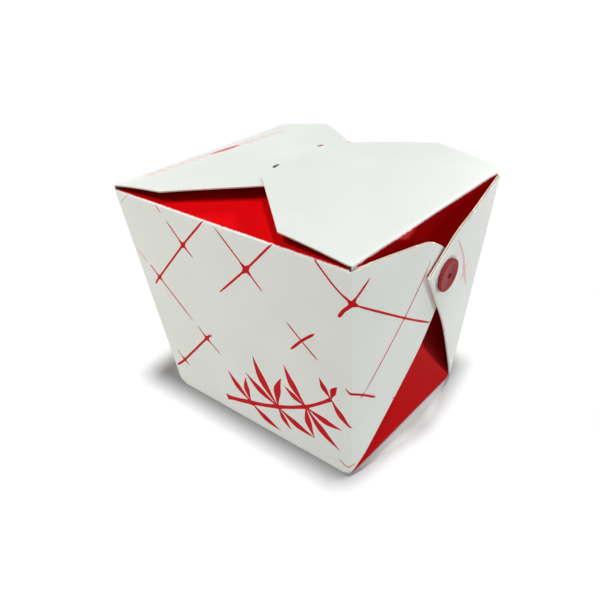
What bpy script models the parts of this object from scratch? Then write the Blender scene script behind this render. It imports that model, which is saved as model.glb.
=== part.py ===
"""Noodle takeaway box, shut: one folded board carton and the two buttons that pin its sides.

Metres, +Z up. The origin is the middle of the base. The printed front face looks along -Y.
The side panels look along +X and -X: the corner webs are folded flat over them, rear over
front, and a round button holds each pair. The two top flaps meet in a low ridge, where the
tongue of the right flap goes into a slit in the left one.
"""
import math

import bmesh
import bpy
from mathutils import Matrix, Vector

# Body: an upside-down truncated pyramid from the base to the top creases.
BOX_HEIGHT = 0.0930
TOP_WIDTH = 0.1075
TOP_DEPTH = 0.0947
BASE_WIDTH = 0.0913
BASE_DEPTH = 0.0740

# Board.
BOARD = 0.0005
WEB_THICKNESS = 0.0011      # two layers of board and the air between them
EMBED = 0.0002              # how far a folded piece reaches into the body that carries it

# Top flaps, hinged on the side panels' top creases.
FLAP_HALF_WIDTH = 0.0472
FLAP_STRAIGHT = 0.0268      # straight side of a flap, from its hinge
FLAP_TAPER = 0.86           # how fast the slanted side closes in, per metre of length
HINGE_RISE = 0.0004
RIDGE_X = -0.0043           # where the right flap's front edge and the slit lie
LEFT_OVERLAP = 0.0080       # how far the left flap runs on under the right one
RIGHT_BOW = 0.0059          # how far a flap bows up by the ridge, in the middle of its depth
LEFT_BOW = 0.0052
LEFT_STIFFNESS = 0.6        # 1 is a bow that comes level at the ridge, 0 is a straight slope
RIGHT_TWIST = 0.0013        # how much higher its back edge is than its middle, by the ridge
LEFT_TWIST = 0.0016
LEFT_TWIST_POWER = 1.5      # how late along the left flap its twist comes in
CROWN = 0.0018              # extra height in the middle of the ridge
CROWN_REACH = 0.018
FLAP_STATIONS = 10
FLAP_ROWS = 8

# Slit in the left flap, and the tongue of the right flap that fills its middle.
SLIT_MIDDLE = 0.0008
SLIT_HALF = 0.0148
SLIT_WIDTH = 0.0006
SLIT_CUT = 0.0040           # depth of the cutter, well over the board
TONGUE_HALF = 0.0098
TONGUE_ROOT = 0.0030        # how far the tongue is let into its own flap
TONGUE_LENGTH = 0.0090
TONGUE_BEND = 0.0020        # length over which it dips through the slit
TONGUE_LET_IN = 0.00035     # drop at its root, so that it joins the flap inside the board
TONGUE_DROP = 0.0022
TONGUE_SAG = 0.0012         # further drop, out to its tip

# Corner webs: outlines in the side panel's plane, measured from the base corner.
WEB_TOP_SLOPE = 0.215       # fall of the top edge away from the hinge
WEB_TIP_SLOPE = 0.93        # fall of the edge that runs to the tip
WEB_ROUNDING = 0.0030
WEB_START = 0.0003
WEB_BLUNT = 0.0008          # what is cut off the very tip
WEB_STEPS = 14
REAR_TIP_HEIGHT = 0.0700    # height of the tip along the corner edge
FRONT_TIP_HEIGHT = 0.0680

# Corner webs: stand-off of their outer faces from the side panel.
HINGE_SLOPE = 0.35          # how steeply a web leaves its hinge
HINGE_SOFTNESS = 0.0004
REAR_START = 0.0008
REAR_SLOPE = 0.172
REAR_LEVEL = 0.0071         # where the rear web runs level, over the front one
REAR_SOFTNESS = 0.0010
FRONT_START = 0.0013
FRONT_SLOPE = 0.127
FRONT_LEVEL = 0.0056        # where the rear web presses the front one back
FRONT_LEVEL_REACH = 0.035
FRONT_PRESSED = 0.05        # how fast it is pressed back beyond there
FRONT_SOFTNESS = 0.0008

# Buttons.
BUTTON_UP = 0.0728          # height up the side panel's slope
BUTTON_FORWARD = 0.0008     # how far it sits in front of the panel's middle line
BUTTON_RADIUS = 0.0060
BUTTON_THICKNESS = 0.0011
BUTTON_EDGE = 0.0003
BUTTON_HOLE = 0.0010
SHANK_RADIUS = 0.0018
SHANK_LENGTH = 0.0036
CLEARANCE = 0.0003
ROUND_STEPS = 40

BOARD_COLOUR = (0.80, 0.83, 0.79)
BOARD_ROUGHNESS = 0.5
BUTTON_COLOUR = (0.33, 0.03, 0.03)
BUTTON_ROUGHNESS = 0.45

SIDE_LEAN = (TOP_WIDTH - BASE_WIDTH) / 2
FACE_LEAN = (TOP_DEPTH - BASE_DEPTH) / 2
CORNER_EDGE = Vector((SIDE_LEAN, FACE_LEAN, BOX_HEIGHT)).length
# A web folds flat only if its half angle makes up what the two panels' corners leave of 90 degrees.
FACE_CORNER = math.atan(SIDE_LEAN / math.hypot(BOX_HEIGHT, FACE_LEAN))
SIDE_CORNER = math.atan(FACE_LEAN / math.hypot(BOX_HEIGHT, SIDE_LEAN))
WEB_HALF_TAN = math.tan((math.pi / 2 - FACE_CORNER - SIDE_CORNER) / 2)


def rounded_min(a, b, width):
    """The smaller of two heights, with the corner where they cross rounded off."""
    return (a + b - math.sqrt((a - b) ** 2 + width ** 2)) / 2


def material(name, colour, roughness):
    """A plain surface."""
    result = bpy.data.materials.new(name)
    result.use_nodes = True
    shader = result.node_tree.nodes["Principled BSDF"]
    shader.inputs["Base Color"].default_value = (*colour, 1.0)
    shader.inputs["Roughness"].default_value = roughness
    shader.inputs["Metallic"].default_value = 0.0
    return result


def mesh_object(name, points, faces, surface=None):
    """A mesh object whose faces all point outwards."""
    mesh = bpy.data.meshes.new(name)
    mesh.from_pydata([tuple(point) for point in points], [], faces)
    shape = bmesh.new()
    shape.from_mesh(mesh)
    bmesh.ops.recalc_face_normals(shape, faces=shape.faces)
    bmesh.ops.triangulate(shape, faces=[face for face in shape.faces if len(face.verts) > 3])
    shape.to_mesh(mesh)
    shape.free()
    result = bpy.data.objects.new(name, mesh)
    bpy.context.scene.collection.objects.link(result)
    if surface:
        mesh.materials.append(surface)
    return result


def cutter(name, shape):
    """An object made of a bmesh shape, which is freed."""
    mesh = bpy.data.meshes.new(name)
    shape.to_mesh(mesh)
    shape.free()
    result = bpy.data.objects.new(name, mesh)
    bpy.context.scene.collection.objects.link(result)
    return result


def combine(target, tool, operation):
    """Adds a piece to a solid, or cuts it out. The tool stays as a hidden guide."""
    tool.hide_render = True
    tool.display_type = "WIRE"
    step = target.modifiers.new(tool.name, "BOOLEAN")
    step.operation = operation
    step.solver = "EXACT"
    step.object = tool


def plate(name, lower, upper):
    """A closed plate between two grids of points with the same rows and columns."""
    rows, columns = len(upper), len(upper[0])
    points = [point for grid in (upper, lower) for row in grid for point in row]
    under = rows * columns
    at = lambda i, j: i * columns + j
    faces = []
    for i in range(rows - 1):
        for j in range(columns - 1):
            quad = (at(i, j), at(i + 1, j), at(i + 1, j + 1), at(i, j + 1))
            faces.append(quad)
            faces.append(tuple(under + index for index in reversed(quad)))
    rim = [at(i, 0) for i in range(rows)]
    rim += [at(rows - 1, j) for j in range(1, columns)]
    rim += [at(i, columns - 1) for i in range(rows - 2, -1, -1)]
    rim += [at(0, j) for j in range(columns - 2, 0, -1)]
    for here, there in zip(rim, rim[1:] + rim[:1]):
        faces.append((here, here + under, there + under, there))
    return mesh_object(name, points, faces)


def body(surface):
    """The carton's closed body, out to the folded-in dust flaps."""
    points = []
    for width, depth, height in ((BASE_WIDTH, BASE_DEPTH, 0.0), (TOP_WIDTH, TOP_DEPTH, BOX_HEIGHT)):
        for x, y in ((-1, -1), (1, -1), (1, 1), (-1, 1)):
            points.append((x * width / 2, y * depth / 2, height))
    faces = [(0, 3, 2, 1), (4, 5, 6, 7)]
    faces += [(i, (i + 1) % 4, (i + 1) % 4 + 4, i + 4) for i in range(4)]
    return mesh_object("carton", points, faces, surface)


# ---- top flaps ----

def crown(run, y):
    """Extra height where the flaps press against each other, in the middle of the ridge."""
    return CROWN * run ** 2 * math.exp(-(y / CROWN_REACH) ** 2)


def bowed(run, stiffness):
    """Rise of a bowed flap as a share of its rise at the ridge, at a share of the way there."""
    return run * (1.0 + stiffness - stiffness * run)


def right_flap_top(x, y):
    """Height of the right flap's upper face: it bows up to the ridge, more at the back."""
    run = (TOP_WIDTH / 2 - x) / (TOP_WIDTH / 2 - RIDGE_X)
    across = y / FLAP_HALF_WIDTH
    rise = (RIGHT_BOW + RIGHT_TWIST * across) * bowed(run, 1.0)
    return BOX_HEIGHT + HINGE_RISE + rise + crown(run, y)


def left_flap_top(x, y):
    """Height of the left flap's upper face: a little lower, and kept under the right flap."""
    run = (TOP_WIDTH / 2 + x) / (TOP_WIDTH / 2 + RIDGE_X)
    across = y / FLAP_HALF_WIDTH
    twist = LEFT_TWIST * run ** LEFT_TWIST_POWER * across
    own = BOX_HEIGHT + HINGE_RISE + LEFT_BOW * bowed(run, LEFT_STIFFNESS) + twist + crown(run, y)
    if x < RIDGE_X:
        return own
    return min(own, right_flap_top(x, y) - BOARD - CLEARANCE)


def flap_half_width(run):
    """Half the width of a flap at a distance from its hinge: straight, then slanting in."""
    return FLAP_HALF_WIDTH - FLAP_TAPER * max(0.0, run - FLAP_STRAIGHT)


def flap(name, side, length, top):
    """One bowed flap, from its hinge on the side panel to its free edge."""
    hinge = TOP_WIDTH / 2 - EMBED
    runs = sorted({length * i / FLAP_STATIONS for i in range(FLAP_STATIONS + 1)} | {FLAP_STRAIGHT})
    upper, lower = [], []
    for run in runs:
        x = side * (hinge - run)
        half = flap_half_width(run)
        ys = [half * (2 * j / FLAP_ROWS - 1) for j in range(FLAP_ROWS + 1)]
        upper.append([Vector((x, y, top(x, y))) for y in ys])
        lower.append([Vector((x, y, top(x, y) - BOARD)) for y in ys])
    return plate(name, lower, upper)


def tongue():
    """The right flap's tongue, which dips through the slit and lies under the left flap."""
    path = [
        (RIDGE_X + TONGUE_ROOT, TONGUE_LET_IN),
        (RIDGE_X, TONGUE_LET_IN),
        (RIDGE_X - TONGUE_BEND, TONGUE_DROP),
        (RIDGE_X - TONGUE_LENGTH, TONGUE_DROP + TONGUE_SAG),
    ]
    upper, lower = [], []
    for x, drop in path:
        ys = [SLIT_MIDDLE + TONGUE_HALF * j for j in (-1, -0.5, 0, 0.5, 1)]
        start = max(x, RIDGE_X)
        upper.append([Vector((x, y, right_flap_top(start, y) - drop)) for y in ys])
        lower.append([point - Vector((0, 0, BOARD)) for point in upper[-1]])
    return plate("tongue", lower, upper)


def slit_end(name, side):
    """A cutter for the stretch of the slit that the tongue leaves open."""
    inner, outer = TONGUE_HALF + CLEARANCE, SLIT_HALF
    middle = SLIT_MIDDLE + side * (inner + outer) / 2
    shape = bmesh.new()
    size = Matrix.Diagonal((SLIT_WIDTH, outer - inner, SLIT_CUT, 1.0))
    bmesh.ops.create_cube(shape, size=1.0, matrix=size)
    result = cutter(name, shape)
    x = RIDGE_X - SLIT_WIDTH
    result.location = (x, middle, left_flap_top(x, middle) - BOARD / 2)
    return result


# ---- corner webs ----

def side_normal(side):
    """The outward normal of a side panel."""
    return Vector((side * BOX_HEIGHT, 0, -SIDE_LEAN)).normalized()


def rear_web_face(u):
    """Stand-off of the rear web's outer face: it lifts from its hinge, then runs level."""
    lifted = rounded_min(REAR_START + REAR_SLOPE * u, REAR_LEVEL, REAR_SOFTNESS)
    return rounded_min(HINGE_SLOPE * u, lifted, HINGE_SOFTNESS)


def front_web_face(u):
    """Stand-off of the front web's outer face: it lifts, then the rear web presses it back."""
    pressed = FRONT_LEVEL - FRONT_PRESSED * (u - FRONT_LEVEL_REACH)
    lifted = rounded_min(FRONT_START + FRONT_SLOPE * u, pressed, FRONT_SOFTNESS)
    return rounded_min(HINGE_SLOPE * u, lifted, HINGE_SOFTNESS)


def web(name, side, end, tip_height, face):
    """A folded corner web: side is the panel's X sign, end is the hinge corner's Y sign."""
    corner = Vector((side * BASE_WIDTH / 2, end * BASE_DEPTH / 2, 0))
    up = (Vector((side * TOP_WIDTH / 2, end * TOP_DEPTH / 2, BOX_HEIGHT)) - corner).normalized()
    out = side_normal(side)
    inwards = out.cross(up)
    if inwards.y * end > 0:
        inwards.negate()
    tip_reach = tip_height * WEB_HALF_TAN
    place = lambda u, v, rise: corner + u * inwards + v * up + rise * out
    upper, lower = [], []
    for i in range(WEB_STEPS + 1):
        u = WEB_START + (tip_reach - WEB_BLUNT - WEB_START) * i / WEB_STEPS
        top_edge = CORNER_EDGE - EMBED - WEB_TOP_SLOPE * u
        tip_edge = tip_height + WEB_TIP_SLOPE * (tip_reach - u)
        ends = (u / WEB_HALF_TAN, rounded_min(top_edge, tip_edge, WEB_ROUNDING))
        upper.append([place(u, v, face(u)) for v in ends])
        lower.append([place(u, v, face(u) - WEB_THICKNESS) for v in ends])
    return plate(name, lower, upper)


# ---- buttons ----

def side_point(side, forward, up_slope, rise):
    """A point over a side panel, from the middle of its foot."""
    foot = Vector((side * BASE_WIDTH / 2, -forward, 0))
    slope = Vector((side * SIDE_LEAN, 0, BOX_HEIGHT)).normalized()
    return foot + up_slope * slope + rise * side_normal(side)


def turned(name, profile, place, surface=None):
    """A ring turned from a closed profile of (radius, height) pairs; its axis looks outwards."""
    points = []
    for step in range(ROUND_STEPS):
        angle = 2 * math.pi * step / ROUND_STEPS
        points += [(r * math.cos(angle), r * math.sin(angle), z) for r, z in profile]
    count = len(profile)
    faces = []
    for step in range(ROUND_STEPS):
        here, there = step * count, (step + 1) % ROUND_STEPS * count
        for i in range(count):
            j = (i + 1) % count
            faces.append((here + i, there + i, there + j, here + j))
    result = mesh_object(name, points, faces, surface)
    result.matrix_world = place
    return result


def button_place(side):
    """The button's seat: just clear of the rear web's outer face."""
    middle = BASE_DEPTH / 2 + FACE_LEAN * BUTTON_UP / CORNER_EDGE
    seat = side_point(side, BUTTON_FORWARD, BUTTON_UP, rear_web_face(middle) + CLEARANCE)
    turn = Vector((0, 0, 1)).rotation_difference(side_normal(side))
    return Matrix.Translation(seat) @ turn.to_matrix().to_4x4()


def button(side, surface):
    """A flat round button with a hole in its middle and a hollow shank through both webs."""
    top = BUTTON_THICKNESS
    profile = [
        (BUTTON_HOLE, -SHANK_LENGTH),
        (SHANK_RADIUS, -SHANK_LENGTH),
        (SHANK_RADIUS, 0.0),
        (BUTTON_RADIUS - BUTTON_EDGE, 0.0),
        (BUTTON_RADIUS, BUTTON_EDGE),
        (BUTTON_RADIUS, top - BUTTON_EDGE),
        (BUTTON_RADIUS - BUTTON_EDGE, top),
        (BUTTON_HOLE, top),
    ]
    name = "button_right" if side > 0 else "button_left"
    return turned(name, profile, button_place(side), surface)


def shank_hole(name, side):
    """A cutter for the hole that the shank goes through, with its clearance."""
    radius, reach = SHANK_RADIUS + CLEARANCE, SHANK_LENGTH + CLEARANCE
    shape = bmesh.new()
    bmesh.ops.create_cone(shape, cap_ends=True, segments=ROUND_STEPS, radius1=radius, radius2=radius,
                          depth=2 * reach)
    result = cutter(name, shape)
    result.matrix_world = button_place(side)
    return result


def carton(surface):
    """The whole carton: body, webs, flaps and tongue, with the slit ends and shank holes cut."""
    solid = body(surface)
    left = flap("flap_left", -1, TOP_WIDTH / 2 - EMBED + RIDGE_X + LEFT_OVERLAP, left_flap_top)
    right = flap("flap_right", 1, TOP_WIDTH / 2 - EMBED - RIDGE_X, right_flap_top)
    for piece in (left, right, tongue()):
        combine(solid, piece, "UNION")
    for side, word in ((1, "right"), (-1, "left")):
        combine(solid, web("web_front_" + word, side, -1, FRONT_TIP_HEIGHT, front_web_face), "UNION")
        combine(solid, web("web_rear_" + word, side, 1, REAR_TIP_HEIGHT, rear_web_face), "UNION")
        combine(solid, shank_hole("shank_hole_" + word, side), "DIFFERENCE")
    for side, word in ((1, "back"), (-1, "front")):
        combine(solid, slit_end("slit_" + word, side), "DIFFERENCE")


def main():
    for old in list(bpy.data.objects):
        bpy.data.objects.remove(old, do_unlink=True)
    carton(material("board", BOARD_COLOUR, BOARD_ROUGHNESS))
    plastic = material("button", BUTTON_COLOUR, BUTTON_ROUGHNESS)
    for side in (1, -1):
        button(side, plastic)


main()
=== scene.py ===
"""Looks of the noodle takeaway box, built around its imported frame.

The carton is folded here from flat board, as the real one is. Each sheet is drawn on the
unfolded blank, in metres: s runs across it and t up from the foot of the wall. A placing function
says where a point of the blank's printed side lies once the box is shut, and board_sheet gives
the board its thickness. The print is drawn on the same blank, so a stroke runs on round a fold.
"""
import math

import bmesh
import bpy
from mathutils import Matrix, Vector, noise
from mathutils.geometry import delaunay_2d_cdt


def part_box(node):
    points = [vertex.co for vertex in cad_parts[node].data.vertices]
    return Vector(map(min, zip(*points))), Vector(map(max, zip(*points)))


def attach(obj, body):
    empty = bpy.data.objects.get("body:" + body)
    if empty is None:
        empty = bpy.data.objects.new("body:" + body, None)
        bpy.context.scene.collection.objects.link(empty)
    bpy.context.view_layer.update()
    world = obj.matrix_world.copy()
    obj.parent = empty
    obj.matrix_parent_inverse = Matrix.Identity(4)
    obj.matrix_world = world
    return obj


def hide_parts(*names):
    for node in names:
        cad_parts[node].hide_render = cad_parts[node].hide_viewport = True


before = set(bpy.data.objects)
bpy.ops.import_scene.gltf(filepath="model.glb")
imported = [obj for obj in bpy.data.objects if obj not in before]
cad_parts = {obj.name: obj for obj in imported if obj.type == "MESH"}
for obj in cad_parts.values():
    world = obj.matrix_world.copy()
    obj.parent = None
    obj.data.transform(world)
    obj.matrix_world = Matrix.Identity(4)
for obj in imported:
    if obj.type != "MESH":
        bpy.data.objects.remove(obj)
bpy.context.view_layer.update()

# ---- sizes, in metres ----

# Body.
carton_low, carton_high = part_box("carton")
TOP_DEPTH = carton_high.y - carton_low.y
BOX_HEIGHT = 0.0930
TOP_WIDTH = 0.1075
BASE_WIDTH = 0.0913
BASE_DEPTH = 0.0740

# Board and its folds.
BOARD = 0.00045
FOLD = 0.0008               # reach of a rounded fold to either side of its line
FOOT_FOLD = 0.0012
FOOT_TURN = 0.0024          # how far a wall's foot runs on under the base
SEAM = 0.0001
BLUNT_REACH = 0.0030        # how far a knocked foot corner is felt
BLUNT_DEPTH = 0.0009
WEAR_AND_HIGHLIGHT_REACH = 0.0007         # how far a cracked fold and its painted highlight show to either side
COCKLE = 0.00010            # how far a panel is from flat
COCKLE_SIZE = 0.034
DUST_SINK = 0.0014          # how far below the rim a dust flap folds in
DUST_REACH = 0.0440         # its depth
DUST_RISE = 0.030           # its slope
DUST_INSET = 0.0010
WEB_INSET = 0.0012          # how far the inner layer of a web stops short of the corner
SIDE_INSET = 0.0015         # how far a side panel's edge lies inside the corner, under the web
DUST_TAPER = 0.35
DUST_WHITE = 0.0001         # how far each red field starts beyond its fold
WEB_WHITE = 0.0008
HINGE_WHITE = 0.0003
SHOULDER_WHITE = 0.0030      # width of a bare corner by each flap's hinge

# Top flaps.
FLAP_HALF_WIDTH = 0.0472
RIGHT_STRAIGHT = 0.0268
LEFT_STRAIGHT = 0.0256
LEFT_SKEW = 0.04
LEFT_FRONT_TAPER = 0.70     # the left flap is cut less slanted at the front
FLAP_TAPER = 0.86
FLAP_CORNER = 0.0010
HINGE_RISE = 0.0004
RIDGE_X = -0.0043
LEFT_OVERLAP = 0.0080
RIGHT_BOW = 0.0059
LEFT_BOW = 0.0052
LEFT_STIFFNESS = 0.6
RIGHT_TWIST = 0.0013
LEFT_TWIST = 0.0016
LEFT_TWIST_POWER = 1.5
CROWN = 0.0018
CROWN_REACH = 0.018
FLAP_GAP = 0.0003
SLIT_MIDDLE = 0.0028
SLIT_HALF = 0.0148
SLIT_WIDTH = 0.0014
SLIT_END = 0.0017           # half the length of the openings at the slit's ends
SLIT_GAPE = 0.0011          # half their width
SLIT_PULL = 0.0024          # how far they lie beyond the other flap's edge
SLIT_SKEW = 0.0003
TONGUE_HALF = 0.0098
TONGUE_LENGTH = 0.0090
TONGUE_BEND = 0.0020
TONGUE_DROP = 0.0022
TONGUE_CORNER = 0.0030

# Corner webs.
WEB_DOUBLE = 0.0011         # both layers and the air between them
WEB_TOP_SLOPE = 0.215
WEB_TIP_SLOPE = 0.93
WEB_ROUNDING = 0.0030
WEB_CORNER = 0.0004
WEB_TOP_GAP = 0.0002
WEB_ROOT = 0.0003           # how far the inner layer is let into the side panel at its root
REAR_TIP_HEIGHT = 0.0700
FRONT_TIP_HEIGHT = 0.0680
HINGE_SLOPE = 0.35
HINGE_SOFTNESS = 0.0004
REAR_START = 0.0008
REAR_SLOPE = 0.172
REAR_LEVEL = 0.0071
REAR_SOFTNESS = 0.0010
FRONT_START = 0.0013
FRONT_SLOPE = 0.127
FRONT_LEVEL = 0.0056
FRONT_LEVEL_REACH = 0.035
FRONT_PRESSED = 0.05
FRONT_SOFTNESS = 0.0008

# Buttons.
BUTTON_UP = 0.0728
BUTTON_FORWARD = 0.0008
BUTTON_RADIUS = 0.0060
BUTTON_THICKNESS = 0.0011
BUTTON_HOLE = 0.0010
SHANK_RADIUS = 0.0018
SHANK_LENGTH = 0.0036
BUTTON_CLEARANCE = 0.0003

SIDE_LEAN = (TOP_WIDTH - BASE_WIDTH) / 2
FACE_LEAN = (TOP_DEPTH - BASE_DEPTH) / 2
WALL_SLANT = math.hypot(BOX_HEIGHT, FACE_LEAN)
SIDE_SLANT = math.hypot(BOX_HEIGHT, SIDE_LEAN)
CORNER_EDGE = math.hypot(WALL_SLANT, SIDE_LEAN)
CREASE = WALL_SLANT - DUST_SINK
CREASE_EDGE = CORNER_EDGE * CREASE / WALL_SLANT
FACE_CORNER = math.atan(SIDE_LEAN / WALL_SLANT)
SIDE_CORNER = math.atan(FACE_LEAN / SIDE_SLANT)
WEB_HALF = (math.pi / 2 - FACE_CORNER - SIDE_CORNER) / 2

# On the blank: the wall's foot corner, and the directions along and out from its corner edge.
FOOT_CORNER = Vector((BASE_WIDTH / 2, 0.0))
ALONG = Vector((SIDE_LEAN, WALL_SLANT)) / CORNER_EDGE
ACROSS = Vector((WALL_SLANT, -SIDE_LEAN)) / CORNER_EDGE

GRID = 0.0030               # spacing of a sheet's own points
ROW_STEP = 0.0015           # spacing of points along folds and edges
FOLD_ROWS = 6
BOARD_FACE, INK, STROKE, FADED, PALE, INSIDE, CUT_EDGE = range(7)


# ---- materials ----

def node(tree, kind, **inputs):
    """A shader node with some of its inputs set or linked."""
    made = tree.nodes.new(kind)
    for key, value in inputs.items():
        socket = made.inputs[key.replace("_", " ")]
        if isinstance(value, bpy.types.NodeSocket):
            tree.links.new(value, socket)
        else:
            socket.default_value = value
    return made


def ramp(tree, value, low, high):
    """A value stretched so that low becomes 0 and high becomes 1, and kept between them."""
    made = node(tree, "ShaderNodeMapRange", Value=value)
    made.inputs["From Min"].default_value = low
    made.inputs["From Max"].default_value = high
    return made.outputs["Result"]


def mix(tree, factor, first, second):
    """A colour between two others."""
    made = tree.nodes.new("ShaderNodeMix")
    made.data_type = "RGBA"
    for index, value in ((0, factor), (6, first), (7, second)):
        if isinstance(value, bpy.types.NodeSocket):
            tree.links.new(value, made.inputs[index])
        elif index:
            made.inputs[index].default_value = (*value, 1.0)
        else:
            made.inputs[index].default_value = value
    return made.outputs[2]


def grain(tree, scale, detail=3.0, stretch=(1.0, 1.0, 1.0)):
    """Noise fixed to the object. scale is in cells per metre."""
    place = node(tree, "ShaderNodeTexCoord").outputs["Object"]
    if stretch != (1.0, 1.0, 1.0):
        place = node(tree, "ShaderNodeMapping", Vector=place, Scale=stretch).outputs["Vector"]
    made = node(tree, "ShaderNodeTexNoise", Vector=place, Scale=scale, Detail=detail)
    return made.outputs["Fac"]


def surface(name, roughness, specular):
    """A material with a Principled shader, and its tree."""
    made = bpy.data.materials.new(name)
    made.use_nodes = True
    shader = made.node_tree.nodes["Principled BSDF"]
    shader.inputs["Roughness"].default_value = roughness
    shader.inputs["Specular IOR Level"].default_value = specular
    return made, made.node_tree, shader


def relief(tree, shader, height, distance, strength=1.0):
    """Bumps a surface by a height from 0 to 1, over a distance in metres."""
    made = node(tree, "ShaderNodeBump", Height=height, Distance=distance, Strength=strength)
    tree.links.new(made.outputs["Normal"], shader.inputs["Normal"])


def printed_board(name, colour, tint, worn_and_highlit, roughness, specular):
    """Coated board: clouded colour, fine fibre, and a paler line along a fold: cracked print, and a painted
    highlight along the crease.
    """
    made, tree, shader = surface(name, roughness, specular)
    clouds = mix(tree, ramp(tree, grain(tree, 42.0), 0.35, 0.68), colour, tint)
    fibre = grain(tree, 1500.0, 4.0, (1.0, 1.0, 0.45))
    speckled = mix(tree, ramp(tree, fibre, 0.60, 0.82), clouds, [channel * 0.93 for channel in colour])
    # The paler line along a fold is partly cracked print and partly a painted highlight.
    wear_and_highlight = node(tree, "ShaderNodeAttribute")
    wear_and_highlight.attribute_name = "wear_and_highlight"
    cracks_and_highlight = node(tree, "ShaderNodeMath", Value=grain(tree, 900.0, 5.0))
    cracks_and_highlight.operation = "MULTIPLY"
    tree.links.new(wear_and_highlight.outputs["Fac"], cracks_and_highlight.inputs[1])
    coloured = mix(tree, ramp(tree, cracks_and_highlight.outputs[0], 0.18, 0.45), speckled, worn_and_highlit)
    tree.links.new(coloured, shader.inputs["Base Color"])
    gloss = ramp(tree, grain(tree, 160.0), 0.0, 1.0)
    dulled = node(tree, "ShaderNodeMath", Value=gloss)
    dulled.operation = "MULTIPLY_ADD"
    dulled.inputs[1].default_value = 0.14
    dulled.inputs[2].default_value = roughness - 0.07
    tree.links.new(dulled.outputs[0], shader.inputs["Roughness"])
    relief(tree, shader, fibre, 0.00002, 0.5)
    return made


def raw_board(name, colour, tint):
    """Uncoated board, as its inner side and its cut edges show it."""
    made, tree, shader = surface(name, 0.85, 0.2)
    fibre = grain(tree, 2400.0, 5.0)
    tree.links.new(mix(tree, ramp(tree, fibre, 0.3, 0.75), colour, tint), shader.inputs["Base Color"])
    relief(tree, shader, fibre, 0.00004)
    return made


def moulded_plastic(name, colour, tint):
    """Satin moulded plastic with a faint flow pattern and fine scuffs."""
    made, tree, shader = surface(name, 0.42, 0.08)
    flow = mix(tree, ramp(tree, grain(tree, 260.0, 2.0), 0.3, 0.7), colour, tint)
    tree.links.new(flow, shader.inputs["Base Color"])
    scuffs = ramp(tree, grain(tree, 1800.0, 6.0), 0.2, 0.8)
    tree.links.new(
        node(tree, "ShaderNodeMapRange", Value=scuffs, To_Min=0.34, To_Max=0.52).outputs["Result"],
        shader.inputs["Roughness"])
    relief(tree, shader, scuffs, 0.00001, 0.5)
    return made


# Each printed board's third colour is its paler fold line: cracked print and a painted highlight.
BOARD_SURFACES = [
    printed_board("board", (0.80, 0.83, 0.79), (0.77, 0.80, 0.755), (0.97, 0.97, 0.95), 0.46, 0.35),
    printed_board("ink", (0.78, 0.003, 0.005), (0.74, 0.002, 0.004), (0.92, 0.86, 0.84), 0.50, 0.008),
    printed_board("stroke", (0.58, 0.008, 0.014), (0.52, 0.005, 0.010), (0.66, 0.10, 0.10), 0.50, 0.08),
    printed_board("faded_ink", (0.74, 0.36, 0.37), (0.79, 0.56, 0.55), (0.86, 0.80, 0.78), 0.48, 0.25),
    printed_board("pale_ink", (0.80, 0.61, 0.60), (0.80, 0.69, 0.67), (0.86, 0.84, 0.81), 0.48, 0.30),
    raw_board("inside", (0.72, 0.70, 0.64), (0.62, 0.59, 0.52)),
    raw_board("cut_edge", (0.86, 0.80, 0.68), (0.72, 0.62, 0.50)),
]
BUTTON_SURFACE = moulded_plastic("button_plastic", (0.30, 0.024, 0.024), (0.25, 0.018, 0.020))


# ---- print, drawn on the blank in millimetres ----

MM = 0.001


def smooth(values, at):
    """A Catmull-Rom curve through equally spaced values, at a share of its length."""
    place = min(at * (len(values) - 1), len(values) - 1.000001)
    i, share = int(place), place - int(place)
    a, b, c, d = (values[min(max(i + k, 0), len(values) - 1)] for k in (-1, 0, 1, 2))
    return b + 0.5 * share * (c - a + share * (2 * a - 5 * b + 4 * c - d + share * (3 * (b - c) + d - a)))


def brush(*stations, steps=9):
    """The outline of a brush stroke through (s, t, width) stations, in millimetres."""
    count = steps * (len(stations) - 1)
    middle = []
    for step in range(count + 1):
        s, t, width = (smooth([station[k] for station in stations], step / count) for k in range(3))
        middle.append((Vector((s, t)), max(width, 0.08)))
    left, right = [], []
    for i, (here, width) in enumerate(middle):
        along = (middle[min(i + 1, count)][0] - middle[max(i - 1, 0)][0]).normalized()
        aside = Vector((-along.y, along.x)) * width / 2
        left.append((here + aside) * MM)
        right.append((here - aside) * MM)
    return left + right[::-1]


def stroke(*points, width=0.7):
    """A pen stroke through (s, t) points, in millimetres, which tapers at both ends."""
    ends = [Vector(points[0]).lerp(Vector(points[1]), 0.25), Vector(points[-1]).lerp(Vector(points[-2]), 0.25)]
    stations = [(*points[0], 0.35 * width), (*ends[0], width)]
    stations += [(s, t, width) for s, t in points[1:-1]]
    return brush(*stations, (*ends[1], width), (*points[-1], 0.35 * width))


def knot(s, t, size, turn=45.0):
    """The ink that gathers where two strokes cross: a four-pointed star with hollow sides."""
    points = []
    for k in range(8):
        angle = math.radians(turn + 45.0 * k)
        reach = size * (0.33 if k % 2 else 1.0)
        points.append(Vector((s + reach * math.cos(angle), t + reach * math.sin(angle))) * MM)
    return points


def leaf(s, t, heading, length):
    """A leaf of one brush stroke from a point, in millimetres and degrees. It droops a little."""
    angle = math.radians(heading)
    along, aside = Vector((math.cos(angle), math.sin(angle))), Vector((-math.sin(angle), math.cos(angle)))
    curl = math.copysign(0.07 * length, heading)
    width = 1.7 + 0.1 * length
    stations = []
    for share, breadth in ((0.0, 0.12), (0.2, 0.45), (0.5, 1.0), (0.75, 0.6), (1.0, 0.03)):
        here = Vector((s, t)) + along * length * share + aside * curl * math.sin(math.pi * share)
        stations.append((here.x, here.y, width * breadth))
    return brush(*stations)


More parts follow.
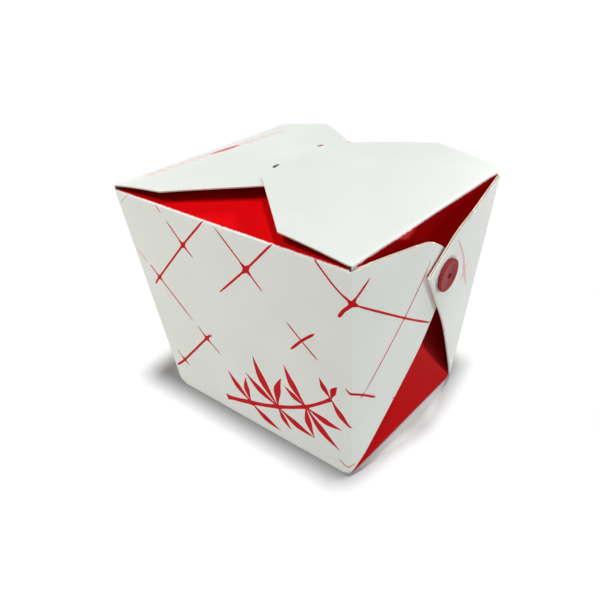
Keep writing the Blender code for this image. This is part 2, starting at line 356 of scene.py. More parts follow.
def joint_of_stem(s, t, end_s, end_t, width):
    """A length of bamboo stem, which flares at its two joints."""
    start, end = Vector((s, t)), Vector((end_s, end_t))
    stations = []
    for share, breadth in ((0.0, 1.15), (0.15, 0.8), (0.5, 0.72), (0.85, 0.8), (1.0, 1.15)):
        here = start.lerp(end, share)
        stations.append((here.x, here.y - 0.3 * math.sin(math.pi * share), width * breadth))
    return brush(*stations)


# The trellis: strokes that cross about every 21 mm both ways, with gaps, as a hand leaves them.
TRELLIS = [
    stroke((-30.5, 92), (-28.5, 89), width=0.4),
    stroke((-26.5, 86.5), (-20, 78.5), (-16, 74.5)),
    stroke((-6, 92), (-20, 78.5), (-40, 58), (-44, 53.5), width=0.8),
    stroke((-49.5, 67.5), (-45, 63), width=0.3),
    stroke((-44, 62.5), (-40, 58), (-25.5, 42.5), width=0.7),
    stroke((-23.5, 41), (-19.5, 36.5), (-13, 31), width=0.6),
    stroke((-16, 39.5), (-19.5, 36.5), (-38.5, 16.5), (-45, 10.5), width=1.0),
    stroke((-42, 20.5), (-38.5, 16.5), (-36, 14.5), width=0.5),
    stroke((-1, 91), (10.5, 78.5), (16.5, 72)),
    stroke((25, 93), (10.5, 78.5), (-5.5, 63.5), width=0.8),
    stroke((40.9, 92.4), (41.3, 91.2), (46.8, 85.2), (53, 80.5), width=0.8),
    stroke((47.5, 74), (50, 77.5), (53, 80.5), width=1.2),
    stroke((53, 80.5), (59.5, 86.5), width=0.9),
    stroke((53, 80.5), (74.5, 59.5), (89, 46), width=0.8),
    stroke((88, 75), (74.5, 59.5), (54, 39.5), width=0.55),
    stroke((47.5, 45), (54, 39.5), (59.5, 33.5), width=0.9),
    stroke((25.5, 63), (31, 57.5), (37, 52)),
    stroke((25.5, 51.5), (31, 57.5), (37, 63), width=1.0),
    stroke((67.5, 25.5), (71.5, 22), width=0.4),
    stroke((41.5, 7), (44.5, 5.2), (48.5, 6), width=0.5),
    knot(-20, 78.5, 3.4), knot(-40, 58, 3.2), knot(-19.5, 36.5, 3.5), knot(-38.5, 16.5, 3.0),
    knot(10.5, 78.5, 4.2), knot(53, 80.5, 3.8), knot(74.5, 59.5, 2.0), knot(54, 39.5, 1.6), knot(31, 57.5, 1.6),
]

# A sprig of bamboo, low on the wall.
SPRIG = [
    joint_of_stem(-15.5, 7.5, -0.6, 12.2, 3.0),
    joint_of_stem(-1.0, 12.0, 14.4, 18.2, 2.6),
    joint_of_stem(14.0, 18.0, 28.9, 26.3, 2.2),
    joint_of_stem(28.5, 26.0, 41.0, 36.5, 1.8),
]
for joint_s, joint_t, leaves in (
        (-0.8, 12.1, ((130, 16), (92, 13), (-28, 16))),
        (14.2, 18.1, ((146, 18), (113, 23), (76, 17), (-62, 11), (-22, 18))),
        (28.7, 26.2, ((150, 11), (116, 18), (-82, 15), (-46, 20), (-10, 16))),
        (41.0, 36.5, ((118, 9), (66, 8), (-52, 13)))):
    SPRIG += [leaf(joint_s, joint_t, heading, length) for heading, length in leaves]

# Faint strokes on the left-hand web and beside it.
FAINT_STROKES = [
    stroke((-46, 92), (-52.5, 86.5), width=0.4),
    brush((-94.1, 75.7, 0.5), (-84, 67.4, 1.3), (-76.8, 59.6, 2.4), (-66.7, 50.9, 0.6)),
    brush((-80.4, 56.4, 0.4), (-76.9, 59.8, 1.6), (-73.6, 63.2, 0.4)),
]


# ---- sheets of board ----

def spaced(polygon, step):
    """A polygon with points added along its long edges."""
    result = []
    for here, there in zip(polygon, polygon[1:] + polygon[:1]):
        count = max(1, math.ceil((there - here).length / step))
        result += [here.lerp(there, k / count) for k in range(count)]
    return result


def fold_rows(start, end, reach):
    """Rows of points along a fold line and beside it, so that the bend is round."""
    along = (end - start).normalized()
    aside = Vector((-along.y, along.x))
    rows = []
    for k in range(FOLD_ROWS + 1):
        shift = aside * reach * (2 * k / FOLD_ROWS - 1)
        count = math.ceil((end - start).length / ROW_STEP)
        rows.append([start.lerp(end, j / count) + shift for j in range(count + 1)])
    return rows


def flat_mesh(outline, folds, fields, cuts):
    """Triangles of a flat outline, each with its surface, that follow every fold and field."""
    points, edges, faces, kinds = [], [], [], []

    def add(polygon, kind):
        turns = sum(a.x * b.y - a.y * b.x for a, b in zip(polygon, polygon[1:] + polygon[:1]))
        faces.append(list(range(len(points), len(points) + len(polygon))))
        points.extend(polygon if turns > 0 else polygon[::-1])
        kinds.append(kind)

    add(spaced(outline, ROW_STEP), None)
    for polygon in cuts:
        add(spaced(polygon, ROW_STEP), "cut")
    for polygon, kind in fields:
        add(spaced(polygon, GRID), kind)
    for start, end, reach in folds:
        for row in fold_rows(start, end, reach):
            edges += [(len(points) + k, len(points) + k + 1) for k in range(len(row) - 1)]
            points.extend(row)
    low = Vector((min(p.x for p in outline), min(p.y for p in outline)))
    high = Vector((max(p.x for p in outline), max(p.y for p in outline)))
    for i in range(1, int((high.x - low.x) / GRID)):
        for j in range(1, int((high.y - low.y) / GRID)):
            points.append(low + Vector((i * GRID, (j + 0.5 * (i % 2)) * GRID)))
    verts, _, triangles, _, _, sources = delaunay_2d_cdt(points, edges, faces, 0, 1e-7)
    kept = []
    for triangle, source in zip(triangles, sources):
        found = [kinds[index] for index in source]
        if 0 in source and "cut" not in found:
            inks = [kind for kind in found if kind not in (None, "cut")]
            kept.append((tuple(triangle), min(inks, default=BOARD_FACE)))
    return verts, kept


def board_sheet(name, place, outline, folds, fields=(), cuts=(), worn_and_highlit=()):
    """A closed piece of board: its printed side is placed by place(s, t), its inner side below."""
    verts, kept = flat_mesh(outline, folds, fields, cuts)
    used = sorted({index for triangle, _ in kept for index in triangle})
    number = {index: k for k, index in enumerate(used)}
    delta = 0.0001
    outer, inner, wear_and_highlight = [], [], []
    for index in used:
        s, t = verts[index]
        here = place(s, t)
        over = place(s + delta, t) - place(s - delta, t)
        up = place(s, t + delta) - place(s, t - delta)
        outer.append(blunted(here))
        inner.append(blunted(here - over.cross(up).normalized() * BOARD))
        # Near a listed fold: cracked print, and a painted highlight along the crease.
        near = min((fold_distance(verts[index], *fold) for fold in worn_and_highlit), default=1.0)
        wear_and_highlight.append(math.exp(-(near / WEAR_AND_HIGHLIGHT_REACH) ** 2))
    count = len(used)
    faces, surfaces, sides = [], [], {}
    for triangle, kind in kept:
        a, b, c = (number[index] for index in triangle)
        faces += [(a, b, c), (count + c, count + b, count + a)]
        surfaces += [kind, INSIDE]
        for edge in ((a, b), (b, c), (c, a)):
            sides[edge] = True
    for a, b in sides:
        if (b, a) not in sides:
            faces.append((b, a, count + a, count + b))
            surfaces.append(CUT_EDGE)
    mesh = bpy.data.meshes.new(name)
    mesh.from_pydata(outer + inner, [], faces)
    for made in BOARD_SURFACES:
        mesh.materials.append(made)
    mesh.polygons.foreach_set("material_index", surfaces)
    mesh.attributes.new("wear_and_highlight", "FLOAT", "POINT").data.foreach_set("value", wear_and_highlight + wear_and_highlight)
    return finished(name, mesh, "carton")


def fold_distance(point, start, end):
    """Distance from a fold line, between its ends."""
    along = end - start
    share = min(max((point - start).dot(along) / along.length_squared, 0.0), 1.0)
    return (point - start - along * share).length


def finished(name, mesh, stands_for):
    """A smooth piece with sharp edges, which rides on the box and stands for a CAD node."""
    mesh.validate()
    mesh.shade_smooth()
    mesh.set_sharp_from_angle(angle=math.radians(34))
    piece = bpy.data.objects.new(name, mesh)
    bpy.context.scene.collection.objects.link(piece)
    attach(piece, "root")
    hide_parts(stands_for)
    return piece


def bend(here, ridge, there, share):
    """A point on a rounded fold that leaves one panel and meets the next along both of them."""
    return here * (1 - share) ** 2 + ridge * 2 * share * (1 - share) + there * share ** 2


def cockle(s, t, seed):
    """How far a panel stands off its plane, at a point of the blank."""
    return COCKLE * noise.noise(Vector((s / COCKLE_SIZE, t / COCKLE_SIZE, seed)))


def blunted(point):
    """A point of the box, drawn in where its foot corners are knocked and lift off the ground."""
    for x, y in ((-1, -1), (1, -1), (1, 1), (-1, 1)):
        corner = Vector((x * BASE_WIDTH / 2, y * BASE_DEPTH / 2, 0.0))
        near = 1.0 - (point - corner).length / BLUNT_REACH
        if near > 0.0:
            return point + Vector((-x, -y, 1.5)).normalized() * BLUNT_DEPTH * near * near * (3.0 - 2.0 * near)
    return point


def rounded_min(a, b, width):
    """The smaller of two heights, with the corner where they cross rounded off."""
    return (a + b - math.sqrt((a - b) ** 2 + width ** 2)) / 2


# ---- front and back walls, with their webs and dust flaps ----

def rear_web_face(u):
    """Stand-off of a rear web's outer face from the side panel, at a distance from its hinge."""
    lifted = rounded_min(REAR_START + REAR_SLOPE * u, REAR_LEVEL, REAR_SOFTNESS)
    return rounded_min(HINGE_SLOPE * u, lifted, HINGE_SOFTNESS)


def front_web_face(u):
    """The same for a front web, which the rear one presses back."""
    pressed = FRONT_LEVEL - FRONT_PRESSED * (u - FRONT_LEVEL_REACH)
    lifted = rounded_min(FRONT_START + FRONT_SLOPE * u, pressed, FRONT_SOFTNESS)
    return rounded_min(HINGE_SLOPE * u, lifted, HINGE_SOFTNESS)


TURN_REACH = math.pi * WEB_DOUBLE / 4      # half the board that goes round a web's folded edge
TURN_SHIFT = WEB_DOUBLE / 2 - TURN_REACH   # so that the folded edge lies on the web's outline


def web_place(face):
    """Places a point of a web: u from the corner edge, v along it; past the fold it comes back."""
    corner = Vector((BASE_WIDTH / 2, -BASE_DEPTH / 2, 0.0))
    up = Vector((SIDE_LEAN, -FACE_LEAN, BOX_HEIGHT)).normalized()
    out = Vector((BOX_HEIGHT, 0.0, -SIDE_LEAN)).normalized()
    inwards = up.cross(out)

    def outer(u, v):
        return corner + inwards * u + up * v + out * face(max(u, 0.0))

    def place(u, v):
        beyond = u * math.cos(WEB_HALF) - v * math.sin(WEB_HALF) + TURN_SHIFT
        if beyond <= -TURN_REACH:
            return outer(u, v)
        back = beyond + TURN_REACH if beyond < TURN_REACH else 2 * beyond
        u, v = u - back * math.cos(WEB_HALF), v + back * math.sin(WEB_HALF)
        radius = min(WEB_DOUBLE, face(max(u, 0.0)) + WEB_ROOT) / 2
        if beyond >= TURN_REACH:
            return outer(u, v) - out * 2 * radius
        turned = (beyond / TURN_REACH + 1) * math.pi / 2
        ahead = inwards * math.cos(WEB_HALF) - up * math.sin(WEB_HALF)
        return outer(u, v) + ahead * radius * math.sin(turned) - out * radius * (1 - math.cos(turned))

    return place


def wall_place(end, face):
    """Places a point of a front (-1) or back (1) wall's blank."""
    turn = Matrix.Rotation(math.pi if end > 0 else 0.0, 3, "Z")
    web = web_place(face)

    def slope(s, t):
        lean = BASE_DEPTH / 2 + FACE_LEAN * t / WALL_SLANT + cockle(s, t, 3.7 * end)
        return Vector((s, -lean, BOX_HEIGHT * t / WALL_SLANT))

    def under(s, run):
        return Vector((s, run - BASE_DEPTH / 2, 0.0))

    def dust(s, run):
        return slope(s, CREASE) + Vector((0.0, run, DUST_RISE * run))

    def wall(s, t):
        if t < -FOOT_FOLD:
            return under(s, -t)
        if t < FOOT_FOLD:
            share = (FOOT_FOLD - t) / (2 * FOOT_FOLD)
            return bend(slope(s, FOOT_FOLD), under(s, 0.0), under(s, FOOT_FOLD), share)
        run = t - CREASE
        if run > FOLD:
            return dust(s, run)
        if run > -FOLD:
            share = (run + FOLD) / (2 * FOLD)
            return bend(slope(s, CREASE - FOLD), dust(s, 0.0), dust(s, FOLD), share)
        return slope(s, t)

    def place(s, t):
        mirror = -1.0 if s < 0 else 1.0
        offset = Vector((abs(s), t)) - FOOT_CORNER
        u, v = offset.dot(ACROSS), offset.dot(ALONG)
        if u <= -FOLD:
            result = wall(abs(s), t)
        elif u >= FOLD:
            result = web(u, v)
        else:
            near, ridge = (FOOT_CORNER + ALONG * v + ACROSS * shift for shift in (-FOLD, 0.0))
            share = (u + FOLD) / (2 * FOLD)
            result = bend(wall(*near), wall(*ridge), web(FOLD, v), share)
        result.x *= mirror
        return turn @ result

    return place


def web_outline(tip_height):
    """The free edges of a web on the blank, from its inner layer's root round to the wall's top."""
    tip_reach = tip_height * math.tan(WEB_HALF)
    ahead = Vector((math.cos(WEB_HALF), -math.sin(WEB_HALF)))
    cut = []
    steps = 24
    for k in range(steps + 1):
        u = tip_reach * k / steps
        top_edge = rounded_min(CORNER_EDGE - WEB_TOP_SLOPE * u, CREASE_EDGE, WEB_CORNER) - WEB_TOP_GAP
        tip_edge = tip_height + WEB_TIP_SLOPE * (tip_reach - u)
        cut.append(Vector((u, rounded_min(top_edge, tip_edge, WEB_ROUNDING))))
    cut = [point for point in cut if point.dot(ahead) + TURN_SHIFT < -TURN_REACH / 2]
    inner = [Vector((WEB_INSET, 2 * WEB_INSET))] + [point for point in cut if point.x > WEB_INSET]
    mirrored = [point - ahead * 2 * (point.dot(ahead) + TURN_SHIFT) for point in inner]
    return [FOOT_CORNER + ACROSS * u + ALONG * v for u, v in mirrored + cut[::-1]]


def both_sides(right_half):
    """A closed outline from its right half, which runs upwards."""
    return right_half + [Vector((-point.x, point.y)) for point in reversed(right_half)]


def wall_sheet(name, end, face, tip_height):
    """A wall with its two webs and its dust flap, from one sheet of board."""
    shoulder = TOP_WIDTH / 2 - DUST_INSET
    right_half = [Vector((BASE_WIDTH / 2 - FOOT_TURN, -FOOT_TURN)), FOOT_CORNER.copy()]
    right_half += web_outline(tip_height)
    right_half.append(Vector((shoulder, CREASE)))
    right_half.append(Vector((shoulder - DUST_TAPER * DUST_REACH, CREASE + DUST_REACH)))
    top_corner = FOOT_CORNER + ALONG * CREASE_EDGE
    tip = FOOT_CORNER + ACROSS * tip_height * math.tan(WEB_HALF) + ALONG * tip_height
    folds = [
        (Vector((-BASE_WIDTH / 2, 0.0)), FOOT_CORNER.copy(), FOOT_FOLD),
        (Vector((-TOP_WIDTH / 2, CREASE)), Vector((TOP_WIDTH / 2, CREASE)), FOLD),
    ]
    for mirror in (1, -1):
        flip = lambda point: Vector((point.x * mirror, point.y))
        folds.append((flip(FOOT_CORNER), flip(top_corner), FOLD))
        folds.append((flip(FOOT_CORNER), flip(tip), TURN_REACH))
    fields = [(shape, STROKE) for shape in TRELLIS + SPRIG] + [(shape, FADED) for shape in FAINT_STROKES]
    wide, low, top = TOP_WIDTH, CREASE + DUST_WHITE, CREASE + 2 * DUST_REACH
    fields.append(([Vector((-wide, low)), Vector((wide, low)), Vector((wide, top)), Vector((-wide, top))], INK))
    for mirror in (1, -1):
        start = FOOT_CORNER + ACROSS * WEB_WHITE / math.cos(WEB_HALF)
        beyond = start + (tip - FOOT_CORNER) * 1.2
        field = [start, beyond, beyond + ACROSS * 0.08 - ALONG * 0.06, start + ACROSS * 0.02]
        fields.append(([Vector((point.x * mirror, point.y)) for point in field], INK))
    # The top crease is painted paler: cracked print, and a painted highlight.
    worn_and_highlit = [folds[1][:2]]
    return board_sheet(name, wall_place(end, face), both_sides(right_half), folds, fields, worn_and_highlit=worn_and_highlit)


# ---- side panels, with their top flaps ----

def bowed(run, stiffness):
    """Rise of a bowed flap as a share of its rise at the ridge."""
    return run * (1.0 + stiffness - stiffness * run)


def crown(run, y):
    """Extra height in the middle of the ridge."""
    return CROWN * run ** 2 * math.exp(-(y / CROWN_REACH) ** 2)


def right_flap_top(x, y):
    """Height of the right flap's upper face."""
    run = (TOP_WIDTH / 2 - x) / (TOP_WIDTH / 2 - RIDGE_X)
    rise = (RIGHT_BOW + RIGHT_TWIST * y / FLAP_HALF_WIDTH) * bowed(run, 1.0)
    return BOX_HEIGHT + HINGE_RISE + rise + crown(run, y)


def left_flap_top(x, y):
    """Height of the left flap's upper face, which stays under the right one."""
    run = (TOP_WIDTH / 2 + x) / (TOP_WIDTH / 2 + RIDGE_X)
    twist = LEFT_TWIST * max(run, 0.0) ** LEFT_TWIST_POWER * y / FLAP_HALF_WIDTH
    own = BOX_HEIGHT + HINGE_RISE + LEFT_BOW * bowed(run, LEFT_STIFFNESS) + twist + crown(run, y)
    return own if x < RIDGE_X else min(own, right_flap_top(x, y) - BOARD - FLAP_GAP)


def side_place(side, top):
    """Places a point of a side panel's blank, and of the flap above it."""
    lead = TOP_WIDTH / 2 - RIDGE_X

    def slope(s, t):
        out = BASE_WIDTH / 2 + SIDE_LEAN * t / SIDE_SLANT + cockle(s, t, 9.1 * side)
        return Vector((side * out, side * s, BOX_HEIGHT * t / SIDE_SLANT))

    def under(s, run):
        return Vector((side * (BASE_WIDTH / 2 - run), side * s, 0.0))

    def flap(s, run):
        x, y = side * (TOP_WIDTH / 2 - run), side * s
        if side < 0 or run <= lead:
            return Vector((x, y, top(x, y) + cockle(s, run, 5.3 * side) - COCKLE))
        past = min((run - lead) / TONGUE_BEND, 1.0)
        drop = TONGUE_DROP * past * past * (3 - 2 * past)
        return Vector((x, y, top(RIDGE_X, y) + cockle(s, lead, 5.3 * side) - COCKLE - drop))

    def place(s, t):
        if t < -FOOT_FOLD:
            return under(s, -t)
        if t < FOOT_FOLD:
            share = (FOOT_FOLD - t) / (2 * FOOT_FOLD)
            return bend(slope(s, FOOT_FOLD), under(s, 0.0), under(s, FOOT_FOLD), share)
        run = t - SIDE_SLANT
        if run > FOLD:
            return flap(s, run)
        if run > -FOLD:
            share = (run + FOLD) / (2 * FOLD)
            return bend(slope(s, SIDE_SLANT - FOLD), flap(s, 0.0), flap(s, FOLD), share)
        return slope(s, t)

    return place


def side_sheet(name, side, top):
    """A side panel with its top flap. The right flap has the tongue, the left one the slit."""
    length = TOP_WIDTH / 2 - RIDGE_X if side > 0 else TOP_WIDTH / 2 + RIDGE_X + LEFT_OVERLAP
    straight = RIGHT_STRAIGHT if side > 0 else LEFT_STRAIGHT
    right_half = [
        Vector((BASE_DEPTH / 2 - FOOT_TURN, -FOOT_TURN)),
        Vector((BASE_DEPTH / 2 - BOARD, 0.0)),
        Vector((BASE_DEPTH / 2 - SIDE_INSET, 0.003)),
        Vector((TOP_DEPTH / 2 - SIDE_INSET, SIDE_SLANT - DUST_SINK - 0.0015)),
        Vector((FLAP_HALF_WIDTH - FLAP_CORNER / 2, SIDE_SLANT - DUST_SINK)),
        Vector((FLAP_HALF_WIDTH - FLAP_CORNER / 2, SIDE_SLANT)),
        Vector((FLAP_HALF_WIDTH, SIDE_SLANT + FLAP_CORNER)),
        Vector((FLAP_HALF_WIDTH, SIDE_SLANT + straight)),
        Vector((FLAP_HALF_WIDTH - FLAP_TAPER * (length - straight), SIDE_SLANT + length)),
    ]
    outline = both_sides(right_half)
    folds = [
        (Vector((-BASE_DEPTH / 2, 0.0)), Vector((BASE_DEPTH / 2, 0.0)), FOOT_FOLD),
        (Vector((-TOP_DEPTH / 2, SIDE_SLANT)), Vector((TOP_DEPTH / 2, SIDE_SLANT)), FOLD),
    ]
    cuts = []
    if side > 0:
        lead = SIDE_SLANT + length
        tip = lead + TONGUE_LENGTH
        tongue = [(TONGUE_HALF, lead), (TONGUE_HALF, tip - TONGUE_CORNER), (TONGUE_HALF - TONGUE_CORNER, tip)]
        points = tongue + [(-s, t) for s, t in reversed(tongue)]
        outline[9:9] = [Vector((SLIT_MIDDLE + s, t)) for s, t in points]
        folds.append((Vector((SLIT_MIDDLE - TONGUE_HALF, lead + TONGUE_BEND / 2)),
                      Vector((SLIT_MIDDLE + TONGUE_HALF, lead + TONGUE_BEND / 2)), TONGUE_BEND / 2))
    else:
        outline[8].x = FLAP_HALF_WIDTH - LEFT_FRONT_TAPER * (length - straight)
        for point in outline:
            skew = LEFT_SKEW * max(point.y - SIDE_SLANT, 0.0)
            point.x = max(point.x - skew, min(point.x, -FLAP_HALF_WIDTH))
        middle, lip = -SLIT_MIDDLE, SIDE_SLANT + TOP_WIDTH / 2 + RIDGE_X
        corners = ((-1, 0), (-1, -1), (1, -1), (1, 0))
        cuts.append([Vector((middle + SLIT_HALF * i, lip + SLIT_WIDTH * j)) for i, j in corners])
        for end in (-1, 1):
            opening = Vector((middle + end * (SLIT_HALF - SLIT_END), lip - SLIT_PULL + end * SLIT_SKEW))
            cuts.append([opening + Vector((SLIT_END * math.cos(angle), SLIT_GAPE * math.sin(angle)))
                         for angle in (math.pi * k / 8 for k in range(16))])
    shoulder, hinge = TOP_DEPTH / 2 - SHOULDER_WHITE, SIDE_SLANT - HINGE_WHITE
    red = both_sides([Vector((TOP_DEPTH, -0.01)), Vector((TOP_DEPTH, SIDE_SLANT - SHOULDER_WHITE)),
                      Vector((shoulder, SIDE_SLANT - 2 * DUST_SINK)), Vector((shoulder, hinge))])
    fields = [(red, INK)]
    if side < 0:
        fields += flap_dashes()
    # The hinge crease is painted paler: cracked print, and a painted highlight.
    return board_sheet(name, side_place(side, top), outline, folds, fields, cuts, [folds[1][:2]])


def flap_dashes():
    """Two rows of short pale dashes across the left flap, which drift away from its hinge."""
    foot = SIDE_SLANT / MM
    fields = []
    for row, breadth, count in ((3.0, 2.8, 15), (5.8, 1.5, 15)):
        for k in range(count):
            share = k / (count - 1)
            s, t = 32.5 - 64.5 * share, foot + row + 7.4 * share
            half = 1.75 + 0.15 * math.sin(2.1 * k)
            dash = brush((s + half, t - 0.2, 0.75 * breadth), (s, t, breadth), (s - half, t + 0.2, 0.75 * breadth))
            fields.append((dash, PALE))
    for breadth, kind in ((4.2, FADED), (1.8, STROKE)):
        fields.append((brush((4.5, foot + 6.8, breadth / 4), (0.5, foot + 7.4, 0.8 * breadth),
                             (-4.5, foot + 8.1, breadth), (-9.5, foot + 8.8, breadth / 4)), kind))
    return fields


# ---- base and buttons ----

def base_sheet():
    """The base panel, which looks down."""
    width, depth = (size / 2 - FOOT_TURN - SEAM for size in (BASE_WIDTH, BASE_DEPTH))
    outline = [Vector((x * width, y * depth)) for x, y in ((-1, -1), (1, -1), (1, 1), (-1, 1))]
    return board_sheet("board_base", lambda s, t: Vector((s, -t, 0.0)), outline, [])


def button_place(side):
    """The button's seat, just clear of the rear web's outer face."""
    out = Vector((side * BOX_HEIGHT, 0.0, -SIDE_LEAN)).normalized()
    slope = Vector((side * SIDE_LEAN, 0.0, BOX_HEIGHT)).normalized()
    middle = BASE_DEPTH / 2 + FACE_LEAN * BUTTON_UP / CORNER_EDGE
    foot = Vector((side * BASE_WIDTH / 2, -BUTTON_FORWARD, 0.0))
    seat = foot + slope * BUTTON_UP + out * (rear_web_face(middle) + BUTTON_CLEARANCE)
    return Matrix.Translation(seat) @ Vector((0, 0, 1)).rotation_difference(out).to_matrix().to_4x4()


def arc(centre, radius, start, end, steps=6):
    """Points on an arc of a turned profile, from one angle to another, in degrees."""
    angles = [math.radians(start + (end - start) * k / steps) for k in range(steps + 1)]
    return [(centre[0] + radius * math.cos(a), centre[1] + radius * math.sin(a)) for a in angles]


def button(side, word):
    """A round plastic button: a flat face in a soft rim, a hole, and a hollow shank."""
    top, rim = BUTTON_THICKNESS, 0.00040
    profile = [(BUTTON_HOLE, -SHANK_LENGTH), (SHANK_RADIUS, -SHANK_LENGTH), (SHANK_RADIUS, 0.0)]
    profile += arc((BUTTON_RADIUS - 0.00015, 0.00015), 0.00015, -90, 0, 3)
    profile += arc((BUTTON_RADIUS - rim, top - rim), rim, 0, 90)
    profile += [(BUTTON_RADIUS * 0.83, top), (BUTTON_RADIUS * 0.80, top - 0.00006)]
    profile += arc((BUTTON_HOLE + 0.00025, top - 0.00031), 0.00025, 90, 180, 4)
    steps, count = 96, len(profile)
    points, faces = [], []
    for step in range(steps):
        angle = 2 * math.pi * step / steps
        points += [(r * math.cos(angle), r * math.sin(angle), z) for r, z in profile]
        here, there = step * count, (step + 1) % steps * count
        for i in range(count):
            j = (i + 1) % count
            faces.append((here + i, there + i, there + j, here + j))
    mesh = bpy.data.meshes.new("pin_" + word)
    mesh.from_pydata(points, [], faces)
    shape = bmesh.new()
    shape.from_mesh(mesh)
    bmesh.ops.recalc_face_normals(shape, faces=shape.faces)
    shape.to_mesh(mesh)
    shape.free()
    mesh.transform(button_place(side))
    mesh.materials.append(BUTTON_SURFACE)
    return finished("pin_" + word, mesh, "button_" + word)


# ---- the box ----

WALLS = [
    wall_sheet("board_front", -1, front_web_face, FRONT_TIP_HEIGHT),
    wall_sheet("board_back", 1, rear_web_face, REAR_TIP_HEIGHT),
]
SIDES = [
    side_sheet("board_right", 1, right_flap_top),
    side_sheet("board_left", -1, left_flap_top),
]
base_sheet()
BUTTONS = [button(1, "right"), button(-1, "left")]


# ---- floor, light and camera ----

STAGE_REACH = 6.0
STAGE_HEIGHT = 3.2


def staged(name, points, faces, made):
    """A part of the studio, which isn't part of the box. It throws no light back on the box."""
    mesh = bpy.data.meshes.new(name)
    mesh.from_pydata(points, [], faces)
    mesh.materials.append(made)
    result = bpy.data.objects.new(name, mesh)
    result.visible_diffuse = False
    bpy.context.scene.collection.objects.link(result)
    return result


def floor():
    """A plain pale floor that runs on past the view."""
    made, tree, shader = surface("floor", 0.9, 0.0)
    tone = mix(tree, ramp(tree, grain(tree, 3.0), 0.3, 0.7), (0.140, 0.140, 0.140), (0.147, 0.147, 0.147))
    tree.links.new(tone, shader.inputs["Base Color"])
    shader.inputs["Emission Color"].default_value = (1.0, 1.0, 1.0, 1.0)
    shader.inputs["Emission Strength"].default_value = 0.21
    corners = [(x * STAGE_REACH, y * STAGE_REACH, -0.00005) for x, y in ((-1, -1), (1, -1), (1, 1), (-1, 1))]
    return staged("floor", corners, [(0, 1, 2, 3)], made)


def backdrop():
    """A white wall round the floor's far edge, for views that reach past it."""
    made, tree, shader = surface("backdrop", 0.9, 0.0)
    shader.inputs["Base Color"].default_value = (0.0, 0.0, 0.0, 1.0)
    shader.inputs["Emission Color"].default_value = (1.0, 1.0, 1.0, 1.0)
    shader.inputs["Emission Strength"].default_value = 1.0
    steps = 48
    points, faces = [], []
    for step in range(steps):
        angle = 2 * math.pi * step / steps
        x, y = STAGE_REACH * math.cos(angle), STAGE_REACH * math.sin(angle)
        points += [(x, y, 0.0), (x, y, STAGE_HEIGHT)]
        here, there = 2 * step, 2 * ((step + 1) % steps)
        faces.append((here, there, there + 1, here + 1))
    result = staged("backdrop", points, faces, made)
    result.visible_glossy = False
    result.visible_shadow = False


def linked(name, pieces, state):
    """A collection that tells a light which pieces to include or leave out."""
    made = bpy.data.collections.new(name)
    for piece in pieces:
        made.objects.link(piece)
    for row in made.collection_objects:
        row.light_linking.link_state = state
    return made


def light_up(name, light, ground, spared=()):
    """Puts a light in the scene that passes through the ground, and leaves it and spared pieces out."""
    result = bpy.data.objects.new(name, light)
    bpy.context.scene.collection.objects.link(result)
    result.light_linking.receiver_collection = linked(name + "_spares", [ground, *spared], "EXCLUDE")
    result.light_linking.blocker_collection = linked(name + "_passes", [ground], "EXCLUDE")
    return result


def distant_light(name, towards, spread, power, ground, spared=()):
    """A distant light, spread degrees wide. At power 1 it shows a white surface as it is."""
    light = bpy.data.lights.new(name, "SUN")
    light.angle = math.radians(spread)
    light.energy = power * math.pi
    result = light_up(name, light, ground, spared)
    result.rotation_euler = Vector(towards).to_track_quat("Z", "Y").to_euler()
    return result


def soft_box(name, place, size, colour, power, ground):
    """A square soft light near the box, turned to its middle."""
    light = bpy.data.lights.new(name, "AREA")
    light.size = size
    light.energy = power
    light.color = colour
    result = light_up(name, light, ground)
    result.location = Vector(place)
    result.rotation_euler = (Vector(place) - Vector((0, 0, BOX_HEIGHT / 2))).to_track_quat("Z", "Y").to_euler()
    result.visible_camera = False


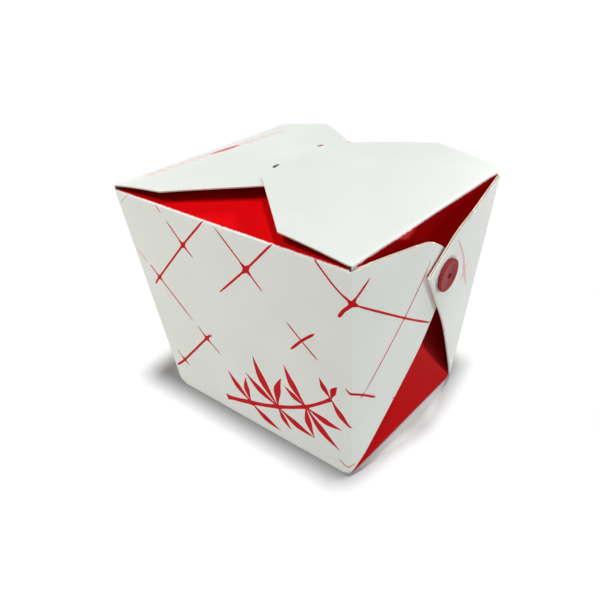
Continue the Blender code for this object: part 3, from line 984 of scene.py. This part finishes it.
def studio(ground):
    """Soft lights from all sides, each for the panels that it shows best, and an even ground."""
    world = bpy.data.worlds.new("studio")
    world.use_nodes = True
    background = world.node_tree.nodes["Background"]
    background.inputs["Color"].default_value = (1.0, 1.0, 1.0, 1.0)
    background.inputs["Strength"].default_value = 0.06
    bpy.context.scene.world = world
    distant_light("key", (0.25, 0.03, 1.00), 8.0, 0.42, ground)
    distant_light("front_key", (0.00, -0.65, 1.00), 8.0, 0.48, ground)
    distant_light("back_fill", (0.00, 1.00, 0.50), 8.0, 0.49, ground)
    distant_light("left_fill", (-1.00, 0.25, 0.00), 20.0, 0.92, ground)
    distant_light("side_fill", (0.33, 0.89, -0.33), 4.0, 0.98, ground, WALLS + BUTTONS)
    distant_light("wall_fill", (0.70, -0.70, -0.35), 20.0, 0.49, ground, SIDES)
    distant_light("web_fill", (0.70, 0.70, 0.00), 20.0, 0.42, ground, SIDES)
    distant_light("gap_fill", (0.70, 0.70, 0.00), 20.0, 0.12, ground, WALLS + BUTTONS)
    soft_box("front_fill", (-0.20, -0.26, 0.05), 0.12, (1.0, 0.90, 0.76), 0.20, ground)
    ground_light = distant_light("ground_light", (0.095, -0.045, 1.0), 9.0, 5.70, ground)
    ground_light.light_linking.receiver_collection = linked("ground_light_reach", [ground], "INCLUDE")
    ground_light.light_linking.blocker_collection = None
    bpy.context.scene.view_settings.view_transform = "Standard"


def camera():
    """The camera, turned about the middle of the body."""
    azimuth, elevation, roll = (math.radians(angle) for angle in (39.98, 29.98, -1.907))
    distance = 2.818 * BOX_HEIGHT
    back = Vector((math.sin(azimuth) * math.cos(elevation), -math.cos(azimuth) * math.cos(elevation),
                   math.sin(elevation)))
    level = (-back).cross(Vector((0, 0, 1))).normalized()
    upright = level.cross(-back)
    right = level * math.cos(roll) + upright * math.sin(roll)
    lens = bpy.data.cameras.new("camera")
    lens.lens = 38.99
    lens.sensor_width = 36.0
    lens.shift_x, lens.shift_y = -0.0205, -0.0214
    result = bpy.data.objects.new("camera", lens)
    turn = Matrix((right, back.cross(right), back)).transposed()
    result.matrix_world = Matrix.Translation(Vector((0, 0, BOX_HEIGHT / 2)) + back * distance) @ turn.to_4x4()
    lens.clip_start = 0.01
    bpy.context.scene.collection.objects.link(result)
    bpy.context.scene.camera = result


studio(floor())
backdrop()
camera()
